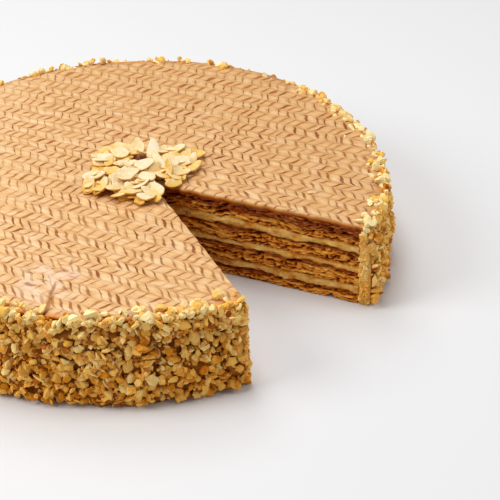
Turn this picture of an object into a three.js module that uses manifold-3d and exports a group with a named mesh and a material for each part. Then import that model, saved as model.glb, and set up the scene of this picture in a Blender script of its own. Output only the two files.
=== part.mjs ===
// A round mille-feuille cake with one slice cut out of it.
// Four sheets of puff pastry and three layers of cream are stacked under a sheet of icing.
// The side is coated with cream and chopped nuts, and flaked almonds are heaped on the middle.
// Millimetres, +Z up. The origin is the centre of the base, and +X and +Y lie in the base.
import * as THREE from "three";
import { mergeVertices } from "three/addons/utils/BufferGeometryUtils.js";
import Module from "manifold-3d";

const wasm = await Module();
wasm.setup();

// Driving dimensions of the whole cake
const CAKE_RADIUS = 140; // over the nuts, halfway up and at the back
const LAYER_RADIUS = 131; // the stacked layers, inside the side coat
const FRONT_REACH = 3.6; // the cake isn't quite round: it stands this much further out at the front
const FOOT_FLARE = 2.8; // the side leans: its foot stands this much further out than its top
const CLEARANCE = 0.3; // left between pieces that don't meet on a flat plane

// The layers from the bottom up, with their thicknesses
const LAYERS = [
  { name: "pastry_bottom", kind: "pastry", thickness: 6.0 },
  { name: "cream_lower", kind: "cream", thickness: 4.0 },
  { name: "pastry_lower", kind: "pastry", thickness: 8.6 },
  { name: "cream_middle", kind: "cream", thickness: 4.0 },
  { name: "pastry_upper", kind: "pastry", thickness: 7.6 },
  { name: "cream_upper", kind: "cream", thickness: 4.8 },
  { name: "pastry_top", kind: "pastry", thickness: 9.0 },
];
const ICING_THICKNESS = 3.0;
const ICING_EDGE_ROUND = 1.4;
const STACK_HEIGHT = LAYERS.reduce((sum, layer) => sum + layer.thickness, 0);
const CAKE_HEIGHT = STACK_HEIGHT + ICING_THICKNESS;

// The missing slice: two straight cuts that meet at a tip in front of the centre
const CUT_TIP = new THREE.Vector2(12, -16);
const CUT_RIGHT = THREE.MathUtils.degToRad(-24);
const CUT_LEFT = THREE.MathUtils.degToRad(-66);
const CUT_STEPS = 16;
const RIM_STEPS = 48;

// Relief of the cut faces
const PASTRY_STRIPS = 5;
const PASTRY_RELIEF = 1.3;
const CREAM_STRIPS = 2;
const CREAM_BULGE = 0.7;

// Colours of the foods
const COLOURS = { pastry: 0xb9772e, cream: 0xe9d2a0, icing: 0xdba671, nuts: 0xdcb169, almonds: 0xf2deb0 };

// A repeatable number from 0 to 1 for each pair of whole numbers
function draw(index, salt) {
  const wave = Math.sin(index * 12.9898 + salt * 78.233) * 43758.5453;
  return wave - Math.floor(wave);
}

// The same, from -1 to 1
function spread(index, salt) {
  return 2 * draw(index, salt) - 1;
}

// How much further out than its radius the cake stands at a turn round the origin
function frontReach(turn) {
  const fromFront = Math.abs(THREE.MathUtils.euclideanModulo(turn + 1.5 * Math.PI, 2 * Math.PI) - Math.PI);
  const [near, far] = [30, 110].map(THREE.MathUtils.degToRad);
  return FRONT_REACH * (1 - THREE.MathUtils.smoothstep(fromFront, near, far));
}

// A point of the outline at a turn round the origin, for a radius at the back
function rimPoint(turn, radius) {
  return new THREE.Vector2(Math.cos(turn), Math.sin(turn)).multiplyScalar(radius + frontReach(turn));
}

// How far from the tip a cut meets the outline
function cutReach(direction, radius) {
  const along = CUT_TIP.x * Math.cos(direction) + CUT_TIP.y * Math.sin(direction);
  return Math.sqrt(along * along - CUT_TIP.lengthSq() + (radius + frontReach(direction)) ** 2) - along;
}

// A point on a cut, at a distance from the tip
function cutPoint(direction, reach) {
  return new THREE.Vector2(Math.cos(direction), Math.sin(direction)).multiplyScalar(reach).add(CUT_TIP);
}

// The turn round the origin at which a cut meets the outline
function cutTurn(direction, radius) {
  return cutPoint(direction, cutReach(direction, radius)).angle();
}

// The turn at a share of the way round the cake, from the right cut to the left one
function turnAt(share, radius) {
  const start = cutTurn(CUT_RIGHT, radius) - 2 * Math.PI;
  const end = cutTurn(CUT_LEFT, radius);
  return start + (end - start) * share;
}

// A surface from triangles that share numbered corners
function indexedGeometry(corners, triangles) {
  const geometry = new THREE.BufferGeometry();
  geometry.setAttribute("position", new THREE.Float32BufferAttribute(corners.flatMap((p) => p.toArray()), 3));
  geometry.setIndex(triangles);
  geometry.computeVertexNormals();
  return geometry;
}

// A solid between upright columns of points, each column listed from the bottom up
function columnSolid(columns) {
  const corners = columns.flat();
  const starts = [];
  let total = 0;
  for (const column of columns) {
    starts.push(total);
    total += column.length;
  }
  const triangles = [];
  columns.forEach((column, j) => {
    const k = (j + 1) % columns.length;
    const next = columns[k];
    let a = 0;
    let b = 0;
    while (a < column.length - 1 || b < next.length - 1) {
      const shareA = (a + 1) / (column.length - 1);
      const shareB = (b + 1) / (next.length - 1);
      if (shareA <= shareB) {
        triangles.push(starts[j] + a, starts[k] + b, starts[j] + a + 1);
        a += 1;
      } else {
        triangles.push(starts[j] + a, starts[k] + b, starts[k] + b + 1);
        b += 1;
      }
    }
  });
  const flat = (pick) => columns.map((column) => new THREE.Vector2(pick(column).x, pick(column).y));
  const bottom = THREE.ShapeUtils.triangulateShape(flat((column) => column[0]), []);
  const top = THREE.ShapeUtils.triangulateShape(flat((column) => column.at(-1)), []);
  for (const [a, b, c] of bottom) triangles.push(starts[a], starts[c], starts[b]);
  const last = columns.map((column, j) => starts[j] + column.length - 1);
  for (const [a, b, c] of top) triangles.push(last[a], last[b], last[c]);
  return indexedGeometry(corners, triangles);
}

// The outline of a layer, counter-clockwise from the tip: out along the right cut, round the rim, back in
function layerOutline(radius) {
  const outline = [{ side: 0, step: 0, at: CUT_TIP.clone() }];
  for (let i = 1; i <= CUT_STEPS; i += 1) {
    outline.push({ side: 1, step: i, at: cutPoint(CUT_RIGHT, (cutReach(CUT_RIGHT, radius) * i) / CUT_STEPS) });
  }
  for (let i = 1; i < RIM_STEPS; i += 1) {
    outline.push({ side: 0, step: i, at: rimPoint(turnAt(i / RIM_STEPS, radius), radius) });
  }
  for (let i = CUT_STEPS; i >= 1; i -= 1) {
    outline.push({ side: 2, step: i, at: cutPoint(CUT_LEFT, (cutReach(CUT_LEFT, radius) * i) / CUT_STEPS) });
  }
  return outline;
}

// The way a cut face looks out into the gap
function cutFacing(side) {
  const direction = side === 1 ? CUT_RIGHT : CUT_LEFT;
  const turn = side === 1 ? -Math.PI / 2 : Math.PI / 2;
  return new THREE.Vector2(Math.cos(direction + turn), Math.sin(direction + turn));
}

// One layer of pastry or cream, with flakes or a soft bulge where a cut shows it
function layerGeometry(index, bottom, top, kind) {
  const strips = kind === "pastry" ? PASTRY_STRIPS : CREAM_STRIPS;
  const columns = layerOutline(LAYER_RADIUS).map(({ side, step, at }) => {
    const rows = side === 0 ? 1 : strips;
    const column = [];
    for (let i = 0; i <= rows; i += 1) {
      const inner = i > 0 && i < rows;
      const key = step * 31 + i * 7 + index;
      const depth = kind === "pastry" ? PASTRY_RELIEF * spread(key, side) : CREAM_BULGE * draw(key, side);
      const shift = inner && step < CUT_STEPS ? depth : 0;
      const share = (i + (inner ? 0.3 * spread(key, side + 5) : 0)) / rows;
      const z = bottom + (top - bottom) * share;
      const facing = cutFacing(side);
      column.push(new THREE.Vector3(at.x + facing.x * shift, at.y + facing.y * shift, i === rows ? top : z));
    }
    return column;
  });
  return columnSolid(columns);
}

// The sheet of icing: square at the cuts, rounded where it meets the nuts at the rim
function icingGeometry() {
  const outer = layerOutline(LAYER_RADIUS);
  const inner = layerOutline(LAYER_RADIUS - ICING_EDGE_ROUND);
  const columns = outer.map(({ at }, j) => [
    new THREE.Vector3(at.x, at.y, STACK_HEIGHT),
    new THREE.Vector3(at.x, at.y, CAKE_HEIGHT - ICING_EDGE_ROUND / 2),
    new THREE.Vector3(inner[j].at.x, inner[j].at.y, CAKE_HEIGHT),
  ]);
  return columnSolid(columns);
}

// A solid through closed loops of points, with a flat cap on the first loop and on the last
function sweptSolid(loops, capTriangles) {
  const size = loops[0].length;
  const triangles = [];
  for (let j = 0; j < loops.length - 1; j += 1) {
    for (let i = 0; i < size; i += 1) {
      const k = (i + 1) % size;
      const [a, b, c, d] = [j * size + i, j * size + k, (j + 1) * size + k, (j + 1) * size + i];
      triangles.push(a, c, b, a, d, c);
    }
  }
  const end = (loops.length - 1) * size;
  for (const [a, b, c] of capTriangles) triangles.push(a, b, c, end + a, end + c, end + b);
  return indexedGeometry(loops.flat(), triangles);
}

// A closed surface as a solid that can be joined
function solidOf(geometry) {
  const bare = geometry.clone();
  bare.deleteAttribute("normal");
  bare.deleteAttribute("uv");
  const merged = mergeVertices(bare);
  const vertProperties = merged.attributes.position.array;
  return new wasm.Manifold(new wasm.Mesh({ numProp: 3, vertProperties, triVerts: new Uint32Array(merged.index.array) }));
}

// A joined solid as a surface
function geometryOf(solid) {
  const mesh = solid.getMesh();
  const geometry = new THREE.BufferGeometry();
  geometry.setAttribute("position", new THREE.Float32BufferAttribute(mesh.vertProperties, 3));
  geometry.setIndex(new THREE.Uint32BufferAttribute(mesh.triVerts, 1));
  geometry.computeVertexNormals();
  return geometry;
}

// The side coat: cream with chopped nuts pressed in, lumpy on the outside, with larger pieces standing proud
const COAT_INNER = LAYER_RADIUS + CLEARANCE;
const COAT_WALL = 136.6; // the mean of the lumpy wall
const COAT_LUMP = 1.4;
const COAT_COLUMNS = 116;
const COAT_ROWS = 7;
const COAT_FOOT = 1.2; // how far the wall draws in at the bottom
const NUT_SIZE = 3.3; // half the length of a large piece
const CUT_MARGIN = 0.018; // of the way round, kept clear of large pieces beside each cut
const SIDE_NUTS = 48;
const RIM_NUTS = 44;
const PLASTIC = 0.7548777; // its steps and those of its square spread points evenly over the wall

// How much further out than its mean the side stands at a height
function flareAt(z) {
  return FOOT_FLARE * (0.5 - z / CAKE_HEIGHT);
}

function coatLoop(j) {
  const share = j / COAT_COLUMNS;
  const ends = j === 0 || j === COAT_COLUMNS;
  const lump = (row) => (ends ? 0 : COAT_LUMP * spread(j * 17 + row, 21));
  const profile = [[COAT_INNER, 0], [COAT_WALL - COAT_FOOT + flareAt(0), 0]];
  for (let row = 1; row < COAT_ROWS; row += 1) {
    const sway = ends ? 0 : 0.25 * spread(j * 13 + row, 22);
    const z = (CAKE_HEIGHT * (row + sway)) / COAT_ROWS;
    profile.push([COAT_WALL + flareAt(z) + lump(row), z]);
  }
  const crest = COAT_WALL - COAT_FOOT + flareAt(CAKE_HEIGHT);
  profile.push([crest + lump(0) / 2, CAKE_HEIGHT + 0.6 + lump(COAT_ROWS) * 0.7]);
  profile.push([COAT_INNER, CAKE_HEIGHT - ICING_EDGE_ROUND / 2]);
  return profile.map(([radius, z]) => {
    const { x, y } = rimPoint(turnAt(share, radius), radius);
    return new THREE.Vector3(x, y, z);
  });
}

// A broken piece of nut: a lopsided chunk with few flat sides
function nutChunk(key, size) {
  const chunk = new THREE.IcosahedronGeometry(size, 0);
  chunk.deleteAttribute("normal");
  chunk.deleteAttribute("uv");
  const geometry = mergeVertices(chunk);
  const places = geometry.attributes.position;
  for (let i = 0; i < places.count; i += 1) {
    const swell = 0.88 + 0.12 * spread(key * 12 + i, 31);
    places.setXYZ(i, places.getX(i) * swell, places.getY(i) * swell * 0.88, places.getZ(i) * swell * 0.8);
  }
  const turns = new THREE.Euler(...[32, 33, 34].map((salt) => 2 * Math.PI * draw(key, salt)));
  return geometry.applyMatrix4(new THREE.Matrix4().makeRotationFromEuler(turns));
}

// A piece of nut set in the coat at a share of the way round
function placedNut(key, share, radius, z, size) {
  const { x, y } = rimPoint(turnAt(share, radius), radius);
  return solidOf(nutChunk(key, size).translate(x, y, z));
}

function coatGeometry() {
  const loops = Array.from({ length: COAT_COLUMNS + 1 }, (_, j) => coatLoop(j));
  const flat = coatLoop(0).map((p) => new THREE.Vector2(Math.hypot(p.x, p.y), p.z));
  let coat = solidOf(sweptSolid(loops, THREE.ShapeUtils.triangulateShape(flat, [])));
  for (let n = 0; n < SIDE_NUTS; n += 1) {
    const size = NUT_SIZE * (0.8 + 0.2 * draw(n, 41));
    const share = CUT_MARGIN + (1 - 2 * CUT_MARGIN) * ((n * PLASTIC) % 1);
    const z = size + 0.4 + (CAKE_HEIGHT - 2 * size - 4) * ((n * PLASTIC * PLASTIC) % 1);
    const radius = CAKE_RADIUS - 0.97 * size + flareAt(z) + 0.3 * spread(n, 42);
    coat = coat.add(placedNut(n, share, radius, z, size));
  }
  for (let n = 0; n < RIM_NUTS; n += 1) {
    const size = NUT_SIZE * (0.75 + 0.2 * draw(n, 43));
    const share = CUT_MARGIN + (1 - 2 * CUT_MARGIN) * ((n + 0.5 + 0.3 * spread(n, 44)) / RIM_NUTS);
    const radius = COAT_INNER + 0.2 + size + 0.5 * draw(n, 45);
    coat = coat.add(placedNut(n + SIDE_NUTS, share, radius, CAKE_HEIGHT - 0.2 + 0.7 * draw(n, 46), size));
  }
  return geometryOf(coat);
}

// The flaked almonds: a low core with flakes leaning on it at all angles, spiralling out from the middle
const HEAP_CENTRE = new THREE.Vector2(7, -8);
const HEAP_RADIUS = 32;
const HEAP_LIFT = 1.3; // the middle of an outer flake above the icing
const HEAP_RISE = 5;
const CORE_CENTRE = new THREE.Vector2(2, -2); // set back from the cuts, which the flakes hang over
const CORE_RADIUS = 14;
const CORE_HEIGHT = 5.5;
const FLAKES = 38;
const FLAKE_LENGTH = 14;
const FLAKE_WIDTH = 9;
const FLAKE_THICKNESS = 1.1;
const FLAKE_SIDES = 7;
const GOLDEN_TURN = Math.PI * (3 - Math.sqrt(5));

// One almond flake: a thin oval with a pointed end, cupped a little
function flakeGeometry(key) {
  const length = FLAKE_LENGTH * (0.82 + 0.3 * draw(key, 51));
  const width = FLAKE_WIDTH * (0.8 + 0.3 * draw(key, 52));
  const cup = 0.8 * draw(key, 53);
  const columns = Array.from({ length: FLAKE_SIDES }, (_, i) => {
    const turn = (2 * Math.PI * i) / FLAKE_SIDES;
    const taper = 1 - 0.28 * Math.cos(turn);
    const x = (length / 2) * Math.cos(turn);
    const y = (width / 2) * Math.sin(turn) * taper;
    const z = cup * Math.cos(turn) * Math.cos(turn);
    return [new THREE.Vector3(x, y, z - FLAKE_THICKNESS / 2), new THREE.Vector3(x, y, z + FLAKE_THICKNESS / 2)];
  });
  return columnSolid(columns);
}

// Where the flakes lie: each at a golden turn from the last, leaning out and tipped a little to one side
function flakePlace(key) {
  const share = Math.sqrt((key + 0.5) / FLAKES);
  const turn = key * GOLDEN_TURN;
  const reach = (HEAP_RADIUS - FLAKE_LENGTH / 3) * share;
  const height = HEAP_LIFT + HEAP_RISE * (1 - share * share);
  const lean = THREE.MathUtils.degToRad(12 + 26 * draw(key, 54));
  const place = new THREE.Matrix4().makeTranslation(
    HEAP_CENTRE.x + reach * Math.cos(turn),
    HEAP_CENTRE.y + reach * Math.sin(turn),
    CAKE_HEIGHT + height,
  );
  place.multiply(new THREE.Matrix4().makeRotationZ(turn));
  place.multiply(new THREE.Matrix4().makeRotationY(lean));
  place.multiply(new THREE.Matrix4().makeRotationX(0.35 * spread(key, 55)));
  return place.multiply(new THREE.Matrix4().makeRotationZ(Math.PI * spread(key, 56)));
}

function almondGeometry() {
  const dome = new THREE.Path();
  dome.absellipse(0, 0, CORE_RADIUS, CORE_HEIGHT, 0, Math.PI / 2, false);
  const profile = [new THREE.Vector2(0, 0), ...dome.getPoints(4)];
  profile[profile.length - 1].x = 0;
  const core = new THREE.LatheGeometry(profile, 16);
  core.rotateX(Math.PI / 2).translate(CORE_CENTRE.x, CORE_CENTRE.y, CAKE_HEIGHT);
  let heap = solidOf(core);
  for (let key = 0; key < FLAKES; key += 1) {
    heap = heap.add(solidOf(flakeGeometry(key).applyMatrix4(flakePlace(key))));
  }
  const below = new THREE.BoxGeometry(4 * HEAP_RADIUS, 4 * HEAP_RADIUS, CAKE_HEIGHT);
  below.translate(HEAP_CENTRE.x, HEAP_CENTRE.y, CAKE_HEIGHT / 2);
  return geometryOf(heap.subtract(solidOf(below)));
}

// The finished cake, one named mesh for each piece of food
const cake = new THREE.Group();

function addPiece(name, geometry, colour, roughness) {
  const mesh = new THREE.Mesh(geometry, new THREE.MeshStandardMaterial({ color: colour, roughness, metalness: 0 }));
  mesh.name = name;
  cake.add(mesh);
}

let level = 0;
LAYERS.forEach(({ name, kind, thickness }, index) => {
  addPiece(name, layerGeometry(index, level, level + thickness, kind), COLOURS[kind], kind === "pastry" ? 0.8 : 0.5);
  level += thickness;
});
addPiece("icing", icingGeometry(), COLOURS.icing, 0.4);
addPiece("nut_coat", coatGeometry(), COLOURS.nuts, 0.7);
addPiece("almond_flakes", almondGeometry(), COLOURS.almonds, 0.6);

export default cake;
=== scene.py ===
# A round mille-feuille cake with a wedge-shaped gap cut into it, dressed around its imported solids.
# Sizes are in millimetres until a mesh is made.
# The frame is the solids' own, with +Z up and the origin under the middle.
import math

import bmesh
import bpy
import numpy as np
from mathutils import Matrix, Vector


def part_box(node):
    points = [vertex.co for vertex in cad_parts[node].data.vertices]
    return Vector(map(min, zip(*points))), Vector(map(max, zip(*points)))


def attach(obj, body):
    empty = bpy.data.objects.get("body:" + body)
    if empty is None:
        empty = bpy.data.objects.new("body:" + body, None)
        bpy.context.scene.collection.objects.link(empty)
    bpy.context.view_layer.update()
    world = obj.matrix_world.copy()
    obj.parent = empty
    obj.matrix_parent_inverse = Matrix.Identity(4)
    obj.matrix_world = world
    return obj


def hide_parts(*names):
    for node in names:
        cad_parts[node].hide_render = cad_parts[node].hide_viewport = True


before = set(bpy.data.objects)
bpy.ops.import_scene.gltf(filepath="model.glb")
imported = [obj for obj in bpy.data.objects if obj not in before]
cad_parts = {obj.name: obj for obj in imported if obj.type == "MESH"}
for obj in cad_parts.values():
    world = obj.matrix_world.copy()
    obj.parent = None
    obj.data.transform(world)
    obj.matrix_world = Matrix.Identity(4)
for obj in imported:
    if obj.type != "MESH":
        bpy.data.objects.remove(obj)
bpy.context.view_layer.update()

# Puff pastry sheets
# Four sheets of puff pastry, each a stack of thin leaves that baked apart, golden inside and browner outside.
# They lie level in the cake, and the knife has left their broken leaves in the two cut faces.
MM = 0.001
STACK = (  # the layers under the icing, from the base up
    "pastry_bottom", "cream_lower", "pastry_lower", "cream_middle",
    "pastry_upper", "cream_upper", "pastry_top",
)
PASTRY_SHEETS = STACK[::2]
LAYER_RADIUS = 131.0  # the stacked layers, inside the coat on the side
CUT_TIP = np.array([12.0, -16.0])  # where the two knife cuts meet, in front of the middle and to its right
CUT_RIGHT = math.radians(-24)
CUT_LEFT = math.radians(-66)
CUT_STEPS = 260
RIM_STEPS = 96
PASTRY_ROWS = 40
FLAKE_RISE = 0.9  # how far the torn flakes stand out of a cut
POCKET = 2.6  # how deep the air between them goes
TOP_CRUST = 0.75  # how much of the top sheet is dark crust, partly painted shade under the icing
SHEET_CRUST = 0.25  # and of each other sheet
CUT_APART = 400  # how far apart the two cuts lie in the noise, so that they differ
SHEET_APART = 200  # and how far apart the salts of two sheets are
FRONT_REACH = 3.6  # the cake isn't quite round: it stands this much further out at the front


def draw(index, salt):
    """A repeatable number from 0 to 1 for each whole number and salt."""
    wave = np.sin(np.asarray(index, float) * 12.9898 + np.asarray(salt, float) * 78.233) * 43758.5453
    return wave - np.floor(wave)


def ripple(where, salt):
    """Smooth noise along a line, from -1 to 1, with a knot at each whole number."""
    knot = np.floor(where)
    share = where - knot
    share = share * share * (3 - 2 * share)
    return 2 * (draw(knot, salt) * (1 - share) + draw(knot + 1, salt) * share) - 1


def ease(value, low, high):
    """Rises smoothly from 0 at low to 1 at high."""
    share = np.clip((value - low) / (high - low), 0, 1)
    return share * share * (3 - 2 * share)


def heading(turn):
    """The level direction at a turn round the middle."""
    return np.stack([np.cos(turn), np.sin(turn)], -1)


def reach(turn):
    """How much further out than its radius the cake stands at a turn round the middle."""
    from_front = np.abs((turn + 1.5 * math.pi) % (2 * math.pi) - math.pi)
    return FRONT_REACH * ease(from_front, math.radians(110), math.radians(30))


def cut_reach(turn, radius):
    """How far from the tip a cut meets a rim of a radius about the middle."""
    along = heading(turn) @ CUT_TIP
    return np.sqrt(along**2 - CUT_TIP @ CUT_TIP + np.square(radius + reach(turn))) - along


def rim_turns(radius):
    """The turns round the middle at which the right cut and the left cut meet a rim."""
    ends = [CUT_TIP + cut_reach(turn, radius) * heading(turn) for turn in (CUT_RIGHT, CUT_LEFT)]
    right, left = [math.atan2(end[1], end[0]) for end in ends]
    return right, left + 2 * math.pi


def layer_plan(radius, rim_turn_list, uneven=0.0):
    """The outline of a layer, anticlockwise from the tip: places, facing, distance along a cut, and side.

    The rim may be uneven by a distance at each of its turns."""
    shares = np.arange(1, CUT_STEPS + 1)[:, None] / CUT_STEPS
    right = CUT_TIP + shares * cut_reach(CUT_RIGHT, radius) * heading(CUT_RIGHT)
    left = (CUT_TIP + shares * cut_reach(CUT_LEFT, radius) * heading(CUT_LEFT))[::-1]
    rim = (radius + reach(rim_turn_list) + uneven)[:, None] * heading(rim_turn_list)
    places = np.vstack([CUT_TIP[None], right, rim, left])
    bisector = heading((CUT_RIGHT + CUT_LEFT) / 2)
    facing = np.vstack([
        bisector[None],
        np.tile(heading(CUT_RIGHT - math.pi / 2), (CUT_STEPS, 1)),
        heading(rim_turn_list),
        np.tile(heading(CUT_LEFT + math.pi / 2), (CUT_STEPS, 1)),
    ])
    side = np.repeat([0, 1, 0, 2], [1, CUT_STEPS, len(rim), CUT_STEPS])
    along = np.where(side > 0, np.linalg.norm(places - CUT_TIP, axis=1), 0.0)
    return places, facing, along, side


def even_rim(radius):
    """Even turns round a rim, between the cuts."""
    right, left = rim_turns(radius)
    return np.linspace(right, left, RIM_STEPS + 1)[1:-1]


def level_of(node):
    """The heights of a node's underside and top."""
    low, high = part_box(node)
    return low[2] / MM, high[2] / MM


def seam(number, along, side):
    """How far a seam between two layers rises and falls along a cut; the base and the top seam are level."""
    if number in (0, len(STACK)):
        return np.zeros_like(along)
    wave = 0.85 * ripple(along / 15, number * 5 + side) + 0.5 * ripple(along / 5.5, number * 7 + side)
    return wave * ease(along, 0, 6)


def closed_faces(columns, rows):
    """Faces between neighbouring columns of points, the last joining the first, and one over each end."""
    column, row = np.meshgrid(np.arange(columns), np.arange(rows - 1), indexing="ij")
    after = (column + 1) % columns
    corners = [column * rows + row, after * rows + row, after * rows + row + 1, column * rows + row + 1]
    first = np.arange(columns) * rows
    return [np.stack(corners, -1).reshape(-1, 4), first[::-1][None], first[None] + rows - 1]


def add_piece(name, points, faces, material, marks):
    """A piece of the cake from points in millimetres, with the three marks on each that its finish reads."""
    mesh = bpy.data.meshes.new(name)
    corners = np.concatenate([group.ravel() for group in faces]).astype(np.int32)
    sizes = np.concatenate([np.full(len(group), group.shape[1]) for group in faces]).astype(np.int32)
    mesh.vertices.add(len(points))
    mesh.vertices.foreach_set("co", (np.asarray(points) * MM).astype(np.float32).ravel())
    mesh.loops.add(len(corners))
    mesh.loops.foreach_set("vertex_index", corners)
    mesh.polygons.add(len(sizes))
    mesh.polygons.foreach_set("loop_start", np.cumsum(sizes, dtype=np.int32) - sizes)
    mesh.polygons.foreach_set("use_smooth", np.full(len(sizes), True))
    layer = mesh.attributes.new("marks", "FLOAT_COLOR", "POINT")
    colours = np.column_stack([marks, np.ones(len(points))]).astype(np.float32)
    layer.data.foreach_set("color", colours.ravel())
    mesh.update(calc_edges=True)
    mesh.validate()
    mesh.materials.append(material)
    piece = bpy.data.objects.new(name, mesh)
    bpy.context.collection.objects.link(piece)
    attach(piece, "root")
    return piece


class Shade:
    """A value that changes over a surface. Arithmetic on it adds Math nodes to the same material."""

    def __init__(self, tree, socket=None):
        self.tree = tree
        self.socket = socket

    def node(self, kind, settings, sockets, output=0):
        """Adds a node with its settings, then the values or links of its sockets, and gives one output."""
        made = self.tree.nodes.new(kind)
        for name, value in settings.items():
            if name == "stops":
                for _ in value[2:]:
                    made.color_ramp.elements.new(1.0)
                for element, (place, colour) in zip(made.color_ramp.elements, value):
                    element.position = place
                    element.color = colour
            elif name == "points":
                curve = made.mapping.curves[0].points
                for place in value[1:-1]:
                    curve.new(*place)
                curve[0].location = value[0]
                curve[-1].location = value[-1]
                made.mapping.update()
            else:
                setattr(made, name, value)
        for name, value in sockets.items():
            if isinstance(value, Shade):
                self.tree.links.new(value.socket, made.inputs[name])
            else:
                made.inputs[name].default_value = value
        return Shade(self.tree, made.outputs[output] if made.outputs else None)

    def math(self, operation, *others):
        return self.node("ShaderNodeMath", {"operation": operation}, dict(enumerate((self, *others))))

    def __add__(self, other):
        return self.math("ADD", other)

    def __mul__(self, other):
        return self.math("MULTIPLY", other)

    def __sub__(self, other):
        return self.math("SUBTRACT", other)

    def __rsub__(self, other):
        return self.node("ShaderNodeMath", {"operation": "SUBTRACT"}, {0: other, 1: self})

    def __truediv__(self, other):
        return self.math("DIVIDE", other)

    def __pow__(self, other):
        return self.math("POWER", other)

    __radd__ = __add__
    __rmul__ = __mul__

    def marks(self):
        """The three marks on a piece's points, as one vector."""
        return self.node("ShaderNodeAttribute", {"attribute_name": "marks"}, {}, "Color")

    def along(self, axis):
        """The part of a place, or of the marks, along an axis."""
        return self.node("ShaderNodeVectorMath", {"operation": "DOT_PRODUCT"}, {0: self, 1: axis}, "Value")

    def times(self, factors):
        """This place or colour, with each of its three parts multiplied by its own factor."""
        return self.node("ShaderNodeVectorMath", {"operation": "MULTIPLY"}, {0: self, 1: factors})

    def eased(self, low, high):
        """0 below low, 1 above high, smooth between; the other way round if low is the higher."""
        settings = {"interpolation_type": "SMOOTHSTEP"}
        return self.node("ShaderNodeMapRange", settings, {"Value": self, "From Min": low, "From Max": high})

    def mix(self, first, second):
        """A colour that goes from first to second as this value goes from 0 to 1."""
        return self.node("ShaderNodeMix", {"data_type": "RGBA"}, {0: self, 6: first, 7: second}, 2)

    def noise(self, size, detail=2.0, seed=0.0):
        """Cloudy noise from 0 to 1 at this place, with patches of a size in millimetres."""
        settings = {"noise_dimensions": "4D"}
        sockets = {"Vector": self, "W": seed, "Scale": 1 / (size * MM), "Detail": detail}
        return self.node("ShaderNodeTexNoise", settings, sockets)

    def relief(self, depth):
        """A bump from this height, whose full rise is a depth in millimetres."""
        return self.node("ShaderNodeBump", {}, {"Height": self, "Distance": depth * MM, "Strength": 1.0})


def tint(red, green, blue):
    """A colour as the photograph's numbers give it, from 0 to 255, for a shader."""
    shares = [value / 255 for value in (red, green, blue)]
    linear = [share / 12.92 if share <= 0.04045 else ((share + 0.055) / 1.055) ** 2.4 for share in shares]
    return (*linear, 1.0)


def new_finish(name):
    """An empty finish, what its nodes are added with, and the place of each point of the surface."""
    material = bpy.data.materials.new(name)
    material.use_nodes = True
    material.node_tree.nodes.clear()
    paint = Shade(material.node_tree)
    place = paint.node("ShaderNodeTexCoord", {}, {}, "Object")
    return material, paint, place


def coat_surface(paint, colour, **sockets):
    """Ends a finish: one food surface of this colour, with its other sockets."""
    named = {name.replace("_", " "): value for name, value in sockets.items()}
    surface = paint.node("ShaderNodeBsdfPrincipled", {}, {"Base Color": colour, **named})
    paint.node("ShaderNodeOutputMaterial", {}, {"Surface": surface})


def grain(along, up, salt):
    """Smooth noise over a face, from -1 to 1, with a knot at each whole number both ways."""
    row = np.floor(up)
    share = up - row
    share = share * share * (3 - 2 * share)
    return ripple(along, salt + row * 17) * (1 - share) + ripple(along, salt + (row + 1) * 17) * share


def pastry_finish():
    """Golden leaves with brown crust, both partly painted shade, and air pockets darkened with painted shade.
    """
    material, paint, place = new_finish("puff_pastry")
    marks = paint.marks()
    flat = place.times((0.35, 0.35, 1))
    # painted shade from the relief, with a cloudy grain of the pastry's own
    tone = marks.along((1, 0, 0)) + 0.45 * (flat.noise(0.6, 3.0) - 0.5)
    stops = [(0.1, tint(178, 76, 4)), (0.45, tint(220, 132, 28)), (0.95, tint(248, 196, 88))]
    colour = paint.node("ShaderNodeValToRGB", {"stops": stops}, {"Fac": tone})
    # crust: partly the browner baked outside, partly painted shade, most of it under the icing
    colour = marks.along((0, 0, 1)).mix(colour, tint(138, 52, 4))
    # painted shade: dark in the air pockets between the leaves
    colour = marks.along((0, 1, 0)).mix(colour, tint(86, 20, 0))
    bump = flat.noise(0.5, 3.0).relief(0.4)
    coat_surface(paint, colour, Roughness=0.6, Normal=bump, Specular_IOR_Level=0.15)
    return material


def pastry_relief(along, up, crisp, salt):
    """How far each point of a cut sheet stands out, and its marks: a tone from that as painted shade, air
    pocket and crust.

    The points lie along the cut and up from the sheet's underside, and crisp is its share of dark crust."""
    height = up[:, -1:]
    level = up + 0.8 * ripple(along / 13, salt) + 0.4 * ripple(along / 3.7, salt + 1)
    flakes = 0.6 * grain(along / 3.6, level / 0.62, salt + 11)
    flakes = flakes + 0.55 * grain(along / 1.3, level / 0.55, salt + 13)
    flakes = flakes + 0.45 * grain(along / 10, level / 2.3, salt + 15)
    pocket = ease(flakes, -0.12, -0.62)
    depth = FLAKE_RISE * flakes * (1 - pocket) - POCKET * pocket
    # painted shade: the tone is paler where a flake stands out and browner where it lies back
    tone = np.clip(0.45 + 0.55 * flakes, 0, 1)
    share = up / height
    crust = ease(share + 0.12 * ripple(along / 5, salt + 7), 1 - crisp, 1 - 0.5 * crisp)
    crust = np.maximum(crust, ease(share, 0.1, 0.0)) * (0.9 + 0.3 * grain(along / 2, level / 0.7, salt + 19))
    return depth, np.stack([tone, pocket, np.clip(crust, 0, 1)], -1)


def layer_points(node, rows):
    """The upright columns of a layer's outline, with how far along a cut and how high each point is."""
    number = STACK.index(node)
    low, high = level_of(node)
    places, facing, along, side = layer_plan(LAYER_RADIUS, even_rim(LAYER_RADIUS))
    low = low + seam(number, along, side)
    high = high + seam(number + 1, along, side)
    up = (high - low)[:, None] * np.linspace(0, 1, rows)[None]
    end = np.where(side == 1, cut_reach(CUT_RIGHT, LAYER_RADIUS), cut_reach(CUT_LEFT, LAYER_RADIUS))
    fade = np.where(side > 0, ease(along, 0, 6) * ease(end - along, 0, 2), 0)
    return places, facing, along, side, low, up, fade


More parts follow.
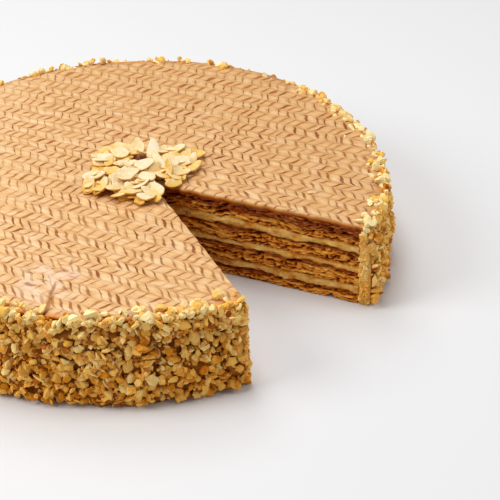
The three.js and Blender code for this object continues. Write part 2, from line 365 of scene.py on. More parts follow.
def layer_piece(node, rows, material, relief, *settings):
    """A closed layer whose cut faces carry a relief with its settings, between an upper and a lower face."""
    places, facing, along, side, low, up, fade = layer_points(node, rows)
    depth, marks = relief(along[:, None] + CUT_APART * side[:, None], up, *settings)
    shift = (depth * fade[:, None])[..., None] * facing[:, None]
    points = np.concatenate([places[:, None] + shift, (low[:, None] + up)[..., None]], -1)
    faces = closed_faces(len(places), rows)
    piece = add_piece(f"{node}_leaves", points.reshape(-1, 3), faces, material, marks.reshape(-1, 3))
    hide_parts(node)
    return piece


pastry = pastry_finish()
for sheet, node in enumerate(PASTRY_SHEETS):
    crisp = TOP_CRUST if node == "pastry_top" else SHEET_CRUST
    sheet_piece = layer_piece(node, PASTRY_ROWS, pastry, pastry_relief, crisp, SHEET_APART * sheet)

# Cream layers
# Pale pastry cream between the sheets, spread flat and pressed out a little by the weight above.
# The knife has smoothed it, so it swells from the cut in a soft band with drag marks along it.
CREAM_LAYERS = STACK[1::2]
CREAM_ROWS = 14
CREAM_SWELL = 0.7  # how far it swells from the cut
CREAM_SALT = 1000  # the first layer's, clear of the pastry's
CREAM_APART = 50  # between the salts of two layers


def cream_finish():
    """Clouded custard colours, with amber crumbs of pastry where its mark says so."""
    material, paint, place = new_finish("cream")
    marks = paint.marks()
    cloud = place.noise(7.0, 3.0)
    colour = cloud.eased(0.3, 0.7).mix(tint(226, 166, 68), tint(244, 204, 118))
    crumbs = marks.along((1, 0, 0)) * place.noise(1.2, 3.0, 2.0).eased(0.3, 0.5)
    colour = crumbs.mix(colour, tint(204, 122, 22))
    bump = place.noise(1.6, 3.0).relief(0.3)
    coat_surface(paint, colour, Roughness=0.4, Normal=bump, Specular_IOR_Level=0.2, Subsurface_Weight=0.2,
                 Subsurface_Scale=0.003)
    return material


def cream_relief(along, up, salt):
    """A soft swelling with drag marks; the mark is how many pastry crumbs the knife left on it."""
    share = up / up[:, -1:]
    swell = CREAM_SWELL * np.sin(math.pi * share) * (0.4 + 0.6 * ripple(along / 8, salt))
    drag = 0.25 * ripple(along / 2.6, salt + 3 + np.floor(share * 5))
    drag = drag + 0.35 * grain(along / 1.4, up, salt + 5)
    border = ease(np.abs(2 * share - 1), 0.2, 0.9)
    crumbs = np.clip(border + 1.1 * grain(along / 5, up / 2.5, salt + 9), 0, 1)
    return swell + drag - 0.6 * crumbs, np.stack([crumbs, 0 * crumbs, 0 * crumbs], -1)


cream = cream_finish()
for layer, node in enumerate(CREAM_LAYERS):
    salt = CREAM_SALT + CREAM_APART * layer
    cream_piece = layer_piece(node, CREAM_ROWS, cream, cream_relief, salt)

# Feathered icing
# A sheet of set caramel-coloured fondant poured over the top sheet of pastry and cut through with it.
# Thin brown lines were piped across it while wet, and a point was dragged through them to and fro.
ICING_MIDDLE = np.array([-8.0, 4.0])  # sees the whole sheet, behind the tip of the cuts
ICING_LOOPS = 64
ICING_ROUND = (  # the inset and the rise of its rounded edge, from its foot
    (0.0, 0.0), (0.0, 1.3), (0.05, 2.0), (0.25, 2.5), (0.6, 2.82), (1.1, 2.97), (1.7, 3.0),
)
ICING_THICK = ICING_ROUND[-1][1]
ICING_RADIUS = 133.4  # it runs out over the top of the cream on the side
RIM_SAG = 0.8  # how far the sheet drops at its edge
EDGE_SWAY = 0.4  # how far its cut edge wavers
EDGE_DRIP = 2.2  # how far its foot runs down for each millimetre that it wavers out
BARE_TURN = math.radians(16)  # the middle of a stretch with few nuts, where the icing ends sooner too
BARE_SPREAD = math.radians(23)
CRACKS = (  # the places each runs through, from its narrow end
    np.array([[-26.4, -105.0], [-28.8, -112.0], [-28.6, -120.0], [-32.4, -140.0]]),
    np.array([[-20.6, -85.5], [-21.6, -88.5], [-23.2, -93.0]]),
)
CRACK_DEPTH = 1.6
CRACK_STEP = 0.5  # how much lower the icing lies to the left of a crack
CRACK_TURNS = np.radians([250, 266])  # round the middle, where the rim needs finer steps
FINE_STEPS = 120
SMUDGE = np.array([-32.0, -107.0])  # the middle of a smudged patch beside the longer crack
SMUDGE_FADE = (22, 6)  # how far from its middle it ends, and where it is full


def icing_rim():
    """Turns round the rim, closer together beside the longer crack."""
    right, left = rim_turns(ICING_RADIUS)
    coarse = np.linspace(right, left, 3 * RIM_STEPS)[1:-1]
    outside = (coarse < CRACK_TURNS[0]) | (coarse > CRACK_TURNS[1])
    fine = np.linspace(*CRACK_TURNS, FINE_STEPS)
    return np.sort(np.concatenate([coarse[outside], fine]))


def bare(turn):
    """1 in the middle of the stretch with few nuts, falling to 0 away from it."""
    return np.exp(-np.square(((turn - BARE_TURN + math.pi) % (2 * math.pi) - math.pi) / BARE_SPREAD))


def crack_distance(places, crack):
    """How far places lie to the right of a crack, whether they are beside it, from 0 to 1, and its width."""
    y = np.clip(places[:, 1], crack[-1, 1], crack[0, 1])
    width = 0.45 + 0.028 * (crack[0, 1] - y)
    middle = np.interp(-y, -crack[:, 1], crack[:, 0]) + 0.9 * ripple(y / 4, 8) + 0.4 * ripple(y / 1.3, 9)
    past_end = ease(places[:, 1], crack[-1, 1] - 0.5, crack[-1, 1] + 0.5)
    return places[:, 0] - middle, past_end * ease(-places[:, 1], -crack[0, 1], -crack[0, 1] + 5), width


def rim_distance(places):
    """How far places lie inside the icing's rim."""
    x, y = places.T
    return ICING_RADIUS + reach(np.arctan2(y, x)) - np.hypot(x, y)


def icing_height(places):
    """The rise and fall of the sheet's top: slow waves, the sag at the rim, and the cracks."""
    x, y = places.T
    waves = 0.22 * np.sin(x / 21 + 1.3) * np.sin(y / 26) + 0.12 * np.sin((x + y) / 11)
    sag = RIM_SAG * ease(rim_distance(places), 8, -1)
    height = waves - sag
    for crack in CRACKS:
        off, near, width = crack_distance(places, crack)
        groove = CRACK_DEPTH * np.exp(-np.square(off / width))
        step = CRACK_STEP * ease(off, 0, -0.6) * ease(off, -7, -1)
        height -= near * (groove + step)
    return height


def icing_piece(material):
    """The sheet, as loops of points from the foot of its edge up and in to its middle.

    Its marks are the cracks, the smudged patch and the distance inside the rim."""
    turns = icing_rim()
    ends = ease(turns - turns[0], 0, 0.03) * ease(turns[-1] - turns, 0, 0.03)
    uneven = (0.7 * ripple(turns * 22, 31) + 0.35 * ripple(turns * 61, 32) - 2.0 * bare(turns)) * ends
    places, facing, along, side = layer_plan(ICING_RADIUS, turns, uneven)
    base, _ = level_of("icing")
    columns = len(places)
    sway = EDGE_SWAY * (ripple(along / 6, 41) + 0.6 * ripple(along / 2.2, 43)) * ease(along, 0, 4)
    sway = np.where(side > 0, sway * ease(cut_reach(CUT_RIGHT, ICING_RADIUS) - along, 0, 3), 0)
    loops = []
    for inset, rise in ICING_ROUND:
        lower = np.clip(ICING_THICK - rise, 0, 1)
        drip = np.clip(sway, 0, None) * EDGE_DRIP * (rise == 0)
        loops.append(np.column_stack([places + (lower * sway - inset)[:, None] * facing, base + rise - drip]))
    edge = loops[-1][:, :2]
    for share in np.linspace(1, 0, ICING_LOOPS + 1)[1:-1]:
        inner = ICING_MIDDLE + share * (edge - ICING_MIDDLE)
        loops.append(np.column_stack([inner, np.full(columns, ICING_THICK + base)]))
    points = np.stack(loops, 1)
    flat = points.reshape(-1, 3)[:, :2]
    line = np.zeros(len(flat))
    for crack in CRACKS:
        off, near, width = crack_distance(flat, crack)
        line = np.maximum(line, near * np.exp(-np.square(off / (width + 0.2))))
    smudge = ease(np.linalg.norm(flat - SMUDGE, axis=1), *SMUDGE_FADE)
    line = line * (0.75 + 0.25 * ripple(flat[:, 1] / 2.2, 17))
    marks = np.stack([line, smudge, rim_distance(flat) / 100], -1)
    top = points[..., 2] > base + 0.5
    lift = icing_height(flat).reshape(points.shape[:2])
    points[..., 2] += np.where(top, lift * np.clip((points[..., 2] - base) / ICING_THICK, 0, 1), 0)
    faces = closed_faces(columns, points.shape[1])
    return add_piece("icing_sheet", points.reshape(-1, 3), faces, material, marks)


DRAG_TURN = math.radians(-27)  # the way the point was dragged
ROW_MIDDLES = (  # every other row of the feathering, measured across the drag
    -137, -123, -109, -95.5, -84, -72.1, -56.7, -41.6, -24.4, -11.5, 0,
    11.4, 22.9, 34.8, 48.4, 59.6, 73.9, 89.9, 104, 118, 132,
)
LINE_STEP = 5.6  # between two piped lines
LINE_LEAN = 0.174  # the piped lines aren't quite square to the drag
LEAN_LOSS = 0.00055  # and grow squarer to the right and the back, by this for each millimetre
LINE_PULL = 3.1  # how far the point pulled the lines to each side
LINE_TAIL = 1.15  # how strongly the ends of a stroke turn along the drag
LINE_HALF = 0.72  # half the width of a stroke
UPWARD = (0, 0, 1000)  # along this, a place gives its height in millimetres
RIGHT_BACK_WAY = (800, 600, 0)  # towards the right and the back: the strokes change this way, and the icing is painted darker as painted shade
FORE_WAY = (600, -800, 0)  # the steep strokes grow heavier this way, and the slanted ones lighter
# painted shade: the icing's colour is multiplied by this towards the right and the back
PAINTED_SHADE_TINT = (0.8, 0.76, 0.71)


def icing_finish():
    """Caramel fondant under rows of brown strokes that lean to and fro, with amber on its cut edge.

    A row lies along the drag and holds one stroke of each piped line.
    Swing goes from 0 to 1 across a row and back across the next."""
    material, paint, place = new_finish("feathered_icing")
    across = 1000 * np.array([-math.sin(DRAG_TURN), math.cos(DRAG_TURN), 0])
    down = 1000 * np.array([math.cos(DRAG_TURN), math.sin(DRAG_TURN), 0])
    crosswise = place.along(across) + 3.0 * (place.noise(48.0, 1.0, 1.0) - 0.5)
    crosswise = crosswise + 2.6 * (place.noise(8.0, 2.0, 2.0) - 0.5)
    span = ROW_MIDDLES[-1] - ROW_MIDDLES[0]
    steps = len(ROW_MIDDLES) - 1
    points = [((middle - ROW_MIDDLES[0]) / span, n / steps) for n, middle in enumerate(ROW_MIDDLES)]
    covered = (crosswise - ROW_MIDDLES[0]) / span
    rows = 2 * steps * paint.node("ShaderNodeFloatCurve", {"points": points}, {"Value": covered})
    row = (rows + 0.5).math("FLOOR")
    swing = (rows + 0.5).math("PINGPONG", 1.0)
    body = 4 * swing * (1 - swing)
    tail = ((1 - 2 * swing) * LINE_TAIL).math("TANGENT")
    toward_right_back = place.along(RIGHT_BACK_WAY).eased(-150, 150)
    fore = place.along(FORE_WAY).eased(-40, 60)
    uneven = 0.6 + 0.8 * place.noise(30.0, 1.0, 14.0) - 0.38 * toward_right_back + 0.28 * fore
    pull = tail * (LINE_PULL / math.tan(LINE_TAIL)) * uneven
    slope = 0.6 * (1 + tail * tail)
    wander = 4.5 * (place.noise(18.0, 1.0, 3.0) - 0.5) + 2.6 * (place.noise(5.0, 2.0, 13.0) - 0.5)
    lengthwise = place.along(down)
    lean = LINE_LEAN - LEAN_LOSS * (lengthwise + crosswise)
    lines = (lengthwise + crosswise * lean - pull + wander) / LINE_STEP
    line = lines.math("FLOOR")
    two_ways = {"noise_dimensions": "2D"}
    stroke_id = paint.node("ShaderNodeCombineXYZ", {}, {"X": line, "Y": row})
    chances = paint.node("ShaderNodeTexWhiteNoise", two_ways, {"Vector": stroke_id}, "Color")
    chance = chances.along((1, 0, 0))
    luck = chances.along((0, 1, 0))
    line_id = paint.node("ShaderNodeCombineXYZ", {}, {"X": line, "Y": 0.5})
    line_chance = paint.node("ShaderNodeTexWhiteNoise", two_ways, {"Vector": line_id}, "Value")
    shift = 0.3 * (line_chance - 0.5) + 0.24 * (chances.along((0, 0, 1)) - 0.5)
    off = (lines - line - 0.5 + shift).math("ABSOLUTE") * LINE_STEP
    cell = off / (0.5 * LINE_STEP)
    off = off / (1 + slope * slope) ** 0.5
    odd = row.math("MODULO", 2.0)
    weight = (0.65 + 0.65 * fore) * (1 - odd) + (1.3 - 0.35 * fore) * odd
    half = LINE_HALF * body ** 0.6 * (0.45 + 0.6 * chance) * weight - 0.06
    stroke = (off - half).eased(0.22, -0.22)
    fade = place.noise(22.0, 3.0, 4.0).eased(0.3, 0.6)
    drawn_out = place.along(down * 0.3 * MM)
    streak = paint.node("ShaderNodeCombineXYZ", {}, {"X": drawn_out, "Y": crosswise * MM})
    milky = streak.noise(4.0, 3.0, 5.0).eased(0.46, 0.68) * (1 - 0.6 * toward_right_back)
    strength = body.eased(0.0, 0.42) * (0.62 + 0.7 * luck) * (0.45 + 0.55 * fade) * (1 - 0.6 * milky)
    strength = strength * (1 - 0.2 * place.along((0, 1000, 0)).eased(30, 120))
    height = place.along(UPWARD)
    base, _ = level_of("icing")
    marks = paint.marks()
    on_top = (height + 2 * marks.along((1, 0, 0))).eased(base + 1.8, base + 2.6)
    colour = streak.noise(2.0, 3.0, 6.0).eased(0.3, 0.7).mix(tint(204, 146, 85), tint(239, 193, 131))
    # painted shade: darker towards the right and the back
    colour = toward_right_back.mix(colour, colour.times(PAINTED_SHADE_TINT))
    colour = (0.65 * milky).mix(colour, tint(244, 214, 173))
    # painted light: paler towards the left
    colour = (0.4 * place.along((1000, 0, 0)).eased(-30, -130)).mix(colour, tint(248, 212, 164))
    colour = (0.35 * cell * body).mix(colour, tint(248, 208, 150))
    border = body.eased(0.45, 0.0)
    drag = border * streak.noise(5.0, 3.0, 7.0).eased(0.35, 0.65)
    colour = (0.5 * drag).mix(colour, tint(186, 120, 62))
    colour = (odd * (0.1 + 0.2 * toward_right_back)).mix(colour, tint(214, 149, 82))
    ink = (0.4 * chance + 0.6 * place.noise(14.0, 1.0, 8.0)).mix(tint(110, 49, 0), tint(154, 79, 4))
    inked = stroke * strength * on_top
    colour = (0.6 * inked).mix(colour, tint(210, 138, 54))
    colour = (0.9 * inked).mix(colour, ink)
    smear = (marks.along((0, 0, 100)) + 18 * (place.noise(15.0, 3.0, 9.0) - 0.5)).eased(6.5, -2.5)
    colour = (0.6 * smear).mix(colour, tint(150, 92, 62))
    smudged = marks.along((0, 1, 0))
    colour = (0.75 * smudged * place.noise(8.0, 3.0, 15.0).eased(0.42, 0.56)).mix(colour, tint(240, 206, 176))
    spots = smudged * streak.noise(2.6, 3.0, 12.0).eased(0.56, 0.64)
    colour = (0.8 * spots).mix(colour, tint(146, 88, 64))
    colour = (0.95 * marks.along((1, 0, 0))).mix(colour, tint(146, 80, 14))
    amber = (height + 1.2 * (place.noise(3.0, 3.0, 16.0) - 0.5)).eased(base + 0.4, base + 2.4)
    amber = amber.mix(tint(168, 80, 4), tint(228, 150, 56))
    colour = on_top.mix(amber, colour)
    bump = (0.3 * stroke + 0.45 * body ** 0.5 + 0.9 * place.noise(4.0, 3.0, 10.0)).relief(0.35)
    gloss = 0.36 + 0.2 * place.noise(12.0, 2.0, 11.0)
    coat_surface(paint, colour, Roughness=gloss, Normal=bump, Specular_IOR_Level=0.4)
    return material


icing = icing_piece(icing_finish())
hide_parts("icing")

# Cream on the side
# A thin wall of the same cream, spread round the stacked layers to hold the nuts.
# The knife has cut through it, and each end shows as a pale upright strip at the outer edge of a cut.
WALL_INNER = LAYER_RADIUS + 0.3
WALL_TOP = 134.4  # the radius of its face at the top
FOOT_FLARE = 2.8  # how much further out it stands at the foot
BARE_DEPTH = 4.2  # how much thinner it is in the stretch with few nuts
SMEAR = 1.7  # how far it stands out where it was smeared over the nuts
WALL_DROP = 3.1  # from the icing's top down to its own
WALL_COLUMNS = 900
WALL_ROWS = 44
_, cake_top = level_of("icing")


def wall_radius(turn, up):
    """The radius of the wall's face at a turn and a height."""
    flare = FOOT_FLARE * (1 - np.clip(up / cake_top, 0, 1) ** 1.5)
    dents = 1.7 * grain(turn * 6.1, up / 15, 71) + 1.4 * grain(turn * 15, up / 8, 73)
    return WALL_TOP + reach(turn) + flare + dents * ease(cake_top - up, 0, 8) - BARE_DEPTH * bare(turn)


def even_turn(share):
    """The turn at a share of the way round the stacked layers."""
    right, left = rim_turns(LAYER_RADIUS)
    return right + share * (left - right)


def share_turn(share, radius):
    """The turn at a share of the way between the cuts at a radius, so that both ends lie on the cuts."""
    right, left = np.array([rim_turns(r) for r in radius.ravel()]).T.reshape(2, *radius.shape)
    return right + share * (left - right)


def wall_piece(material):
    """The wall, lumpy outside and plain inside; its mark is 1 on it and 0 at its two ends."""
    share = np.linspace(0, 1, WALL_COLUMNS)[:, None]
    up = np.linspace(0.0, cake_top - WALL_DROP, WALL_ROWS)[None]
    inside = ease(share, 0, 0.006) * ease(1 - share, 0, 0.006)
    lump = 0.9 * grain(share * 250, up / 2.7, 3) + 0.6 * grain(share * 560, up / 1.5, 5) - 0.6
    turn = even_turn(share)
    lump = lump + SMEAR * ease(grain(turn * 9, up / 9, 75) + 0.4 * grain(turn * 30, up / 4, 77), 0.15, 0.6)
    radius = wall_radius(turn, up) - reach(turn) + lump * inside - 0.8 * (1 - inside) - 1.0 * ease(up, 4, 0)
    radius = np.maximum(radius, WALL_INNER + 0.4)
    outer = np.stack([radius, np.broadcast_to(up, radius.shape)], -1)
    inner = np.array([[WALL_INNER, up[0, -1] - 0.3], [WALL_INNER, 0.0]])
    profile = np.concatenate([outer, np.broadcast_to(inner, (WALL_COLUMNS, 2, 2))], 1)
    rows = profile.shape[1]
    turn = share_turn(share, profile[..., 0])
    places = (profile[..., :1] + reach(turn)[..., None]) * heading(turn)
    points = np.concatenate([places, profile[..., 1:]], -1)
    index = np.arange(WALL_COLUMNS * rows).reshape(WALL_COLUMNS, rows)
    after = np.roll(index, -1, axis=1)
    sides = np.stack([index[:-1], index[1:], after[1:], after[:-1]], -1).reshape(-1, 4)
    faces = [sides, index[0][None], index[-1][::-1][None]]
    marks = np.zeros((WALL_COLUMNS, rows, 3))
    marks[..., 0] = inside
    return add_piece("side_cream", points.reshape(-1, 3), faces, material, marks.reshape(-1, 3))


def side_cream_finish():
    """Pale cream at the two ends, and brown between the nuts, where little light reaches it."""
    material, paint, place = new_finish("side_cream")
    marks = paint.marks()
    cloud = place.noise(5.0, 3.0).eased(0.3, 0.7)
    between = cloud.mix(tint(128, 62, 2), tint(184, 116, 30))
    colour = marks.along((1, 0, 0)).mix(cloud.mix(tint(236, 170, 72), tint(252, 212, 124)), between)
    bump = place.noise(1.6, 3.0).relief(0.5)
    coat_surface(paint, colour, Roughness=0.6, Normal=bump, Specular_IOR_Level=0.15)
    return material


side_cream = wall_piece(side_cream_finish())
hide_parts("nut_coat")

# Chopped nuts
# Toasted nuts chopped to uneven chips and chunks, pale where they broke and brown where their skin is left.
# They are pressed into the wet cream all round the side, and stand in clumps along the top edge.
NUT_SHAPES = 48  # how many different ones a kind of nut has
NUT_SEED = 913
FLOOR_GAP = 0.25  # from the table to the lowest nuts
SHARP_EDGE = math.radians(30)


def ball(subdivisions):
    """The points and faces of a round ball of triangles."""
    mesh = bmesh.new()
    bmesh.ops.create_icosphere(mesh, subdivisions=subdivisions, radius=1.0)
    points = np.array([vertex.co for vertex in mesh.verts])
    faces = np.array([[vertex.index for vertex in face.verts] for face in mesh.faces])
    mesh.free()
    return points, faces


def unit(vectors):
    """The same directions, each one long."""
    return vectors / np.linalg.norm(vectors, axis=-1, keepdims=True)


def broken_nuts(rng, subdivisions, cuts, rough):
    """Lopsided shapes: rough balls whose points beyond a few random planes are pushed back to them."""
    points, faces = ball(subdivisions)
    swell = rng.uniform(1 - rough, 1 + rough, (NUT_SHAPES, len(points), 1))
    shapes = np.repeat(points[None], NUT_SHAPES, 0) * swell
    fresh = np.zeros(shapes.shape[:2])
    for _ in range(cuts):
        normal = unit(rng.normal(size=(NUT_SHAPES, 1, 3)))
        beyond = (shapes * normal).sum(-1) - rng.uniform(0.25, 0.75, (NUT_SHAPES, 1))
        shapes = shapes - np.clip(beyond, 0, None)[..., None] * normal
        fresh = np.maximum(fresh, beyond > 0)
    return shapes, fresh, faces


def turned(rng, outward, tilt):
    """Turns that lay nuts with their flat side along a surface, any way round, and tilted from it."""
    count = len(outward)
    up = unit(outward + tilt * rng.normal(size=(count, 3)))
    side = unit(np.cross(up, unit(rng.normal(size=(count, 3)))))
    return np.stack([side, np.cross(up, side), up], -1)


def scatter(name, rng, shapes, places, outward, sizes, tilt, material, tones, skins=1.0):
    """One piece of many nuts, each turned and set in its place.

    Its marks are its tone, where it broke, and how much skin the rest of it has."""
    forms, fresh, faces = shapes
    pick = rng.integers(0, len(forms), len(places))
    body = forms[pick] * sizes[:, None]
    body = np.einsum("nij,nvj->nvi", turned(rng, outward, tilt), body)
    points = body + places[:, None]
    points[..., 2] += np.clip(FLOOR_GAP - points[..., 2].min(1), 0, None)[:, None]
    offsets = np.arange(len(places))[:, None, None] * forms.shape[1]
    all_faces = (faces[None] + offsets).reshape(-1, 3)
    shade = np.broadcast_to((skins * rng.random(len(places)))[:, None], fresh[pick].shape)
    marks = np.stack([np.broadcast_to(tones[:, None], shade.shape), fresh[pick], shade], -1)
    piece = add_piece(name, points.reshape(-1, 3), [all_faces], material, marks.reshape(-1, 3))
    piece.data.set_sharp_from_angle(angle=SHARP_EDGE)


def nut_finish(name, skin, flesh, pale):
    """Nut meat from dull to pale by its tone, with its own skin colour on the faces that didn't break."""
    material, paint, place = new_finish(name)
    marks = paint.marks()
    # darker towards the foot
    tone = marks.along((1, 0, 0)) - 0.5 * place.along(UPWARD).eased(26, 0)
    tone = tone + 1.6 * (place.noise(17.0, 2.0, 3.0) - 0.5)
    fleck = place.noise(1.4, 3.0)
    meat = (tone + 0.5 * (fleck - 0.5)).eased(0.0, 0.9).mix(flesh, pale)
    whole = (1 - marks.along((0, 1, 0))) * (0.25 + 0.75 * marks.along((0, 0, 1)))
    colour = (whole * fleck.eased(0.2, 0.6)).mix(meat, skin)
    bump = place.noise(0.8, 3.0).relief(0.3)
    coat_surface(paint, colour, Roughness=0.55, Normal=bump, Specular_IOR_Level=0.08)
    return material


pale_nut = nut_finish("pale_nut", tint(226, 146, 38), tint(249, 192, 84), tint(255, 230, 152))
golden_nut = nut_finish("golden_nut", tint(182, 96, 4), tint(222, 142, 28), tint(253, 206, 98))
rim_nut = nut_finish("rim_nut", tint(236, 172, 62), tint(252, 206, 108), tint(255, 236, 176))
brown_nut = nut_finish("brown_nut", tint(116, 48, 8), tint(156, 78, 18), tint(210, 120, 36))
rng = np.random.default_rng(NUT_SEED)
END_GAP = 0.4  # from a cut to the nearest nut's middle
EVEN_ROUND = 0.7548777  # steps round and up the side that spread the nuts evenly over it
EVEN_UP = 0.5698403
NUT_LOW = 1.4  # from the base to the lowest nuts' middles
NUT_HIGH = 0.8  # from the highest ones to the icing's top
NUT_SPREAD = 1.1  # how unevenly they stand out of the wall


def around(share):
    """Turns round the side, from one cut to the other, for shares from 0 to 1."""
    right, left = rim_turns(WALL_TOP)
    edge = END_GAP / WALL_TOP
    return right + edge + share * (left - right - 2 * edge)


def side_places(count, over):
    """Places spread evenly over the side, with the way out of the wall at each."""
    n = np.arange(count)
    low = NUT_LOW
    high = cake_top - NUT_HIGH
    turn = around((n * EVEN_ROUND + 0.004 * rng.normal(size=count)) % 1)
    z = low + (high - low) * ((n * EVEN_UP + 0.02 * rng.normal(size=count)) % 1)
    radius = wall_radius(turn, z) + over + NUT_SPREAD * np.clip(rng.normal(size=count), -2, 1.4)
    outward = unit(np.column_stack([heading(turn), np.full(count, FOOT_FLARE / cake_top)]))
    return np.column_stack([radius[:, None] * heading(turn), z]), outward


def nut_sizes(count, low, high, flat, full):
    """Half lengths along, across and through each nut."""
    return rng.uniform(low, high, (count, 1)) * rng.uniform([0.9, 0.65, flat], [1.2, 1.0, full], (count, 3))


chunk_shapes = broken_nuts(rng, subdivisions=2, cuts=4, rough=0.12)
chip_shapes = broken_nuts(rng, subdivisions=1, cuts=2, rough=0.28)
# For each kind on the side: its name, how many, half length from and to, thickness from and to as a share of
# that, height over the wall, tilt, shapes and finish
SIDE_NUTS = (
    ("nut_grit", 5000, 0.8, 1.7, 0.5, 0.9, 0.1, 1.0, chip_shapes, golden_nut),
    ("nut_chips", 4600, 1.5, 3.6, 0.3, 0.65, 0.9, 0.9, chip_shapes, pale_nut),
    ("nut_chunks", 1400, 1.5, 2.9, 0.45, 0.85, 1.3, 1.0, chunk_shapes, golden_nut),
    ("nut_skins", 330, 1.2, 2.4, 0.3, 0.6, 1.4, 0.7, chunk_shapes, brown_nut),
)
BACK_TURN = math.radians(88)  # the far edge, where the nuts reach less high


def from_back(turn):
    """How far round from the far edge, from 0 to half a turn."""
    return np.abs((turn - BACK_TURN + math.pi) % (2 * math.pi) - math.pi)


for name, count, low, high, flat, full, over, tilt, shapes, finish in SIDE_NUTS:
    places, outward = side_places(count, over)
    places[:, 2] *= 1 - 0.06 * ease(from_back(np.arctan2(places[:, 1], places[:, 0])), 1.2, 0.6)
    sizes = nut_sizes(count, low, high, flat, full)
    scatter(name, rng, shapes, places, outward, sizes, tilt, finish, rng.random(count))

CUT_NUTS = 300  # cut through with the cream, in each of its two ends
CUT_TILT = 0.6
cut_nuts = []
for cut, outward_turn in ((CUT_RIGHT, CUT_RIGHT - math.pi / 2), (CUT_LEFT, CUT_LEFT + math.pi / 2)):
    z = rng.uniform(1.5, cake_top - 4, CUT_NUTS)
    deep = rng.uniform(0.8, WALL_TOP + FOOT_FLARE * (1 - (z / cake_top) ** 1.5) - WALL_INNER - 0.8)
    spot = CUT_TIP + cut_reach(cut, WALL_INNER + deep)[:, None] * heading(cut)
    cut_nuts.append((np.column_stack([spot, z]), np.tile([*heading(outward_turn), 0.0], (CUT_NUTS, 1))))
places, outward = [np.concatenate(group) for group in zip(*cut_nuts)]
sizes = nut_sizes(2 * CUT_NUTS, low=0.8, high=2.0, flat=0.4, full=0.8)
scatter("cut_nuts", rng, chip_shapes, places, outward, sizes, CUT_TILT, pale_nut, rng.random(2 * CUT_NUTS))

EDGE_NUTS = 460  # in a row round the top edge
RIM_NUTS = 1350  # over that row, before they are thinned to clumps
TOASTED_NUTS = 100  # browner ones among them
RIM_OVER = 2.2  # how far out past the wall the nuts on the rim start
RIM_TILT = 1.0
rim_shapes = broken_nuts(rng, subdivisions=2, cuts=4, rough=0.1)


def near_cut(turn):
    """1 beside the right cut, where the rim's nuts are paler, partly painted light, falling to 0 away from
    it.
    """
    return ease(turn - rim_turns(WALL_TOP)[0], math.radians(75), math.radians(40))


def rim_places(turn, inward, lift):
    """Places over the top edge, inward from its outside and lifted from the icing, and the way out there."""
    radius = wall_radius(turn, cake_top) + RIM_OVER - inward
    outward = np.column_stack([0.5 * heading(turn), np.ones(len(turn))])
    return np.column_stack([radius[:, None] * heading(turn), cake_top + lift]), unit(outward)


turn = around(rng.random(EDGE_NUTS))
lift = rng.uniform(-2.4, -0.4, EDGE_NUTS) - 2.5 * ease(from_back(turn), 1.2, 0.6) - 1.2 * bare(turn)
places, outward = rim_places(turn, rng.uniform(0, 3.5, EDGE_NUTS), lift)
sizes = nut_sizes(EDGE_NUTS, low=1.4, high=2.7, flat=0.5, full=0.9)
# paler and with less skin beside the right cut, partly painted light
tones = 0.7 * rng.random(EDGE_NUTS) + 0.5 * near_cut(turn)
scatter("edge_nuts", rng, rim_shapes, places, outward, sizes, RIM_TILT, rim_nut, tones, 1 - near_cut(turn))


def crowded(turn):
    """The turns left when nuts are thinned to uneven clumps, fewer at the back and in the bare stretch."""
    crowd = (0.15 + 0.85 * ease(from_back(turn), 0.5, 1.1)) * (1 - 0.7 * bare(turn))
    crowd = crowd * ease(ripple(turn * 16, 5) + 0.8 * ripple(turn * 37, 6), -0.8, 0.5)
    return turn[rng.random(len(turn)) < crowd]


for name, count, finish in (("rim_nuts", RIM_NUTS, rim_nut), ("toasted_nuts", TOASTED_NUTS, golden_nut)):
    turn = crowded(around(rng.random(count)))
    inward = np.maximum(9 * rng.random(len(turn)) ** 1.5, 4.5 * ease(from_back(turn), 1.4, 0.9))
    lift = rng.uniform(-0.8, 1.7, len(turn)) * ease(9.5 - inward, 0, 4) - 0.4
    places, outward = rim_places(turn, inward, lift)
    sizes = nut_sizes(len(turn), low=1.0, high=2.5, flat=0.65, full=1.0)
    sizes = sizes * (1 + 0.6 * rng.random((len(turn), 1)) ** 3)
    # paler beside the right cut, partly painted light
    tones = rng.random(len(turn)) ** 0.8 + 0.5 * near_cut(turn)
    scatter(name, rng, rim_shapes, places, outward, sizes, RIM_TILT, finish, tones, 1 - near_cut(turn))

CRUMBS = (  # fallen on the icing: x, y, half length
    (94, -31.5, 1.3), (116, 29, 1.0), (112, 59, 1.2), (93.5, 81.5, 0.9), (48, -122, 3.3), (38.5, -125.5, 1.6),
)
CRUMB_FORM = np.array([[1.1, 0.9, 0.75]])  # along, across and through, against the half length
CRUMB_LIFT = 0.4  # of its half length, from the icing to its middle
CRUMB_TILT = 0.3
CRUMB_TONE = 0.6
places = np.array([(x, y, cake_top + CRUMB_LIFT * half) for x, y, half in CRUMBS])
sizes = CRUMB_FORM * np.array([[half] for _, _, half in CRUMBS])
outward = np.tile([0.0, 0.0, 1.0], (len(CRUMBS), 1))
tones = np.full(len(CRUMBS), CRUMB_TONE)
scatter("icing_crumbs", rng, rim_shapes, places, outward, sizes, CRUMB_TILT, rim_nut, tones)

# Flaked almonds
# Blanched almonds sliced to ovals, ivory, with painted shade and a painted glow at the edge; some bent or
# chipped.
# A handful is dropped on the middle of the icing, and a few hang over the tip of the cuts.
FLAKE_WIDTH = 0.58  # of a flake's length
FLAKE_THICK = 0.95
FLAKE_STEPS = 30
FLAKE_RINGS = 5
FLAKE_SINK = 0.2  # how far a flake may sink into the icing
UNDER_FLAKES = 4  # lying beneath each of the others
UNDER_SPREAD = 6.0  # how far to the side of it
UNDER_MIDDLE = np.array([5.0, -10.0])  # they lie a little nearer to this point
UNDER_LIFT = (0.8, 4.4)  # above the icing
UNDER_TILT = 20  # degrees either way
UNDER_LENGTH = (9, 13)
HOLLOW = np.array([6.0, 2.0])  # where the heap is open down to the icing
HOLLOW_RADIUS = 8.0
GAP_MARGIN = 3.0  # how near to the gap the middle of a flake beneath may lie
HEAP_SEED = 12
